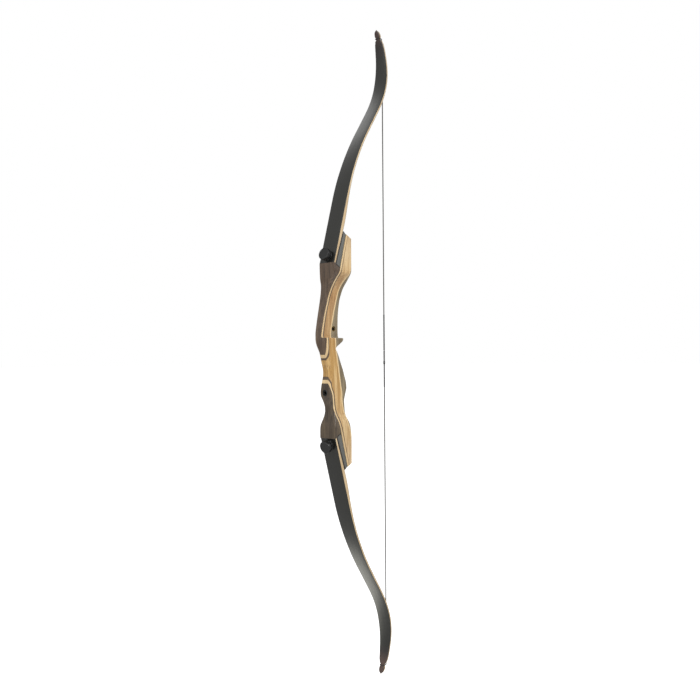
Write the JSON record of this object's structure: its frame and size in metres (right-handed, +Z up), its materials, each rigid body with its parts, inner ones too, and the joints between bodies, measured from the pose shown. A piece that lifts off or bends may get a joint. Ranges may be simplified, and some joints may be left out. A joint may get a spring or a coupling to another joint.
{
  "type": "recurve bow",
  "caption": "Strung wooden takedown recurve bow with laminated riser, two bolted limbs and a looped string; for the right hand.",
  "frame": {"origin": "deepest point of the grip's throat, half way between the limb tips", "axes": "+Z up along the bow, +Y from the target side to the string, +X to the side where the sight window is cut"},
  "size_m": [0.044, 0.222, 1.4996],
  "materials": {
    "core_wood": "satin",
    "upper_block_wood": "satin",
    "lower_block_wood": "satin",
    "belly_wood": "satin",
    "pale_veneer": "satin",
    "dark_veneer": "satin",
    "pad": "matte",
    "liner": "matte",
    "brass": "satin",
    "steel": "satin",
    "black_steel": "satin",
    "limb_glass": "satin",
    "limb_wood": "satin",
    "overlay": "gloss",
    "knob": "matte",
    "string": "waxed",
    "serving": "waxed"
  },
  "bodies": {
    "riser": {"riser_core": "core_wood", "upper_front_block": "upper_block_wood", "lower_front_block": "lower_block_wood", "belly_block": "belly_wood", "upper_pale_veneer": "pale_veneer", "lower_pale_veneer": "pale_veneer", "belly_pale_veneer": "pale_veneer", "upper_dark_veneer": "dark_veneer", "lower_dark_veneer": "dark_veneer", "upper_limb_pad": "pad", "lower_limb_pad": "pad", "upper_pad_liner": "liner", "lower_pad_liner": "liner", "upper_bolt_insert": "brass", "lower_bolt_insert": "brass", "upper_locating_pins": "steel", "lower_locating_pins": "steel", "plunger_bushing": "brass", "stabilizer_bushing": "black_steel", "upper_butt_back_glass": "limb_glass", "upper_butt_core": "limb_wood", "upper_butt_belly_glass": "limb_glass", "lower_butt_back_glass": "limb_glass", "lower_butt_core": "limb_wood", "lower_butt_belly_glass": "limb_glass"},
    "upper_limb": {"upper_blade_back_glass": "limb_glass", "upper_blade_core": "limb_wood", "upper_blade_belly_glass": "limb_glass"},
    "upper_tip": {"upper_recurve_back_glass": "limb_glass", "upper_recurve_core": "limb_wood", "upper_recurve_belly_glass": "limb_glass", "upper_tip_overlay": "overlay", "upper_loop": "string"},
    "upper_string_end": {"upper_string_end": "string"},
    "upper_string_half": {"upper_string": "string", "upper_string_middle": "serving", "upper_serving": "serving"},
    "upper_washer": {"upper_washer": "steel"},
    "upper_knob": {"upper_knob": "knob", "upper_bolt": "steel"},
    "lower_limb": {"lower_blade_back_glass": "limb_glass", "lower_blade_core": "limb_wood", "lower_blade_belly_glass": "limb_glass"},
    "lower_tip": {"lower_recurve_back_glass": "limb_glass", "lower_recurve_core": "limb_wood", "lower_recurve_belly_glass": "limb_glass", "lower_tip_overlay": "overlay", "lower_loop": "string"},
    "lower_string_end": {"lower_string_end": "string"},
    "lower_string_half": {"lower_string": "string", "lower_string_middle": "serving", "lower_serving": "serving", "serving_knot": "serving"},
    "lower_washer": {"lower_washer": "steel"},
    "lower_knob": {"lower_knob": "knob", "lower_bolt": "steel"}
  },
  "joints": [
    {"name": "draw", "type": "hinge", "parent": "riser", "child": "upper_limb", "pos_m": [0, 0.02742, 0.31997], "axis": [-1, 0, 0], "range_deg": [0, 13.6], "stiffness_Nm_per_rad": 220, "springref_deg": -17.19},
    {"name": "upper_tip_flex", "type": "hinge", "parent": "upper_limb", "child": "upper_tip", "pos_m": [0, 0.07694, 0.44913], "axis": [-1, 0, 0], "range_deg": [0, 13.61]},
    {"name": "upper_string_lift", "type": "hinge", "parent": "upper_tip", "child": "upper_string_end", "pos_m": [0, 0.16863, 0.73203], "axis": [-1, 0, 0], "range_deg": [-45.8, 0]},
    {"name": "upper_string_unwrap", "type": "hinge", "parent": "upper_string_end", "child": "upper_string_half", "pos_m": [0, 0.18094, 0.66269], "axis": [-1, 0, 0], "range_deg": [-10.1, 0], "deforming": ["upper_string_middle"]},
    {"name": "lower_limb_flex", "type": "hinge", "parent": "riser", "child": "lower_limb", "pos_m": [0, 0.02742, -0.31997], "axis": [1, 0, 0], "range_deg": [0, 13.61]},
    {"name": "lower_tip_flex", "type": "hinge", "parent": "lower_limb", "child": "lower_tip", "pos_m": [0, 0.07694, -0.44913], "axis": [1, 0, 0], "range_deg": [0, 13.61]},
    {"name": "lower_string_lift", "type": "hinge", "parent": "lower_tip", "child": "lower_string_end", "pos_m": [0, 0.16863, -0.73203], "axis": [1, 0, 0], "range_deg": [-45.8, 0]},
    {"name": "lower_string_unwrap", "type": "hinge", "parent": "lower_string_end", "child": "lower_string_half", "pos_m": [0, 0.18094, -0.66269], "axis": [1, 0, 0], "range_deg": [-10.1, 0], "deforming": ["lower_string_middle"]},
    {"name": "upper_bolt_travel", "type": "slide", "parent": "riser", "child": "upper_washer", "axis": [0, -0.9588, 0.284], "range_m": [0, 0.0138]},
    {"name": "upper_knob_turn", "type": "hinge", "parent": "upper_washer", "child": "upper_knob", "pos_m": [0, -0.01546, 0.20334], "axis": [0, -0.9588, 0.284], "range_deg": [0, 3600]},
    {"name": "lower_bolt_travel", "type": "slide", "parent": "riser", "child": "lower_washer", "axis": [0, -0.9588, -0.284], "range_m": [0, 0.0138]},
    {"name": "lower_knob_turn", "type": "hinge", "parent": "lower_washer", "child": "lower_knob", "pos_m": [0, -0.01546, -0.20334], "axis": [0, -0.9588, -0.284], "range_deg": [0, 3600]}
  ],
  "couplings": [
    {"joint": "upper_tip_flex", "follows": "draw", "ratio": 1},
    {"joint": "upper_string_lift", "follows": "draw", "ratio": -3.3637},
    {"joint": "upper_string_unwrap", "follows": "draw", "ratio": -0.74027},
    {"joint": "lower_limb_flex", "follows": "draw", "ratio": 1},
    {"joint": "lower_tip_flex", "follows": "draw", "ratio": 1},
    {"joint": "lower_string_lift", "follows": "draw", "ratio": -3.3637},
    {"joint": "lower_string_unwrap", "follows": "draw", "ratio": -0.74027},
    {"joint": "upper_bolt_travel", "follows": "upper_knob_turn", "m_per_rad": 0.00019894},
    {"joint": "lower_bolt_travel", "follows": "lower_knob_turn", "m_per_rad": 0.00019894}
  ]
}
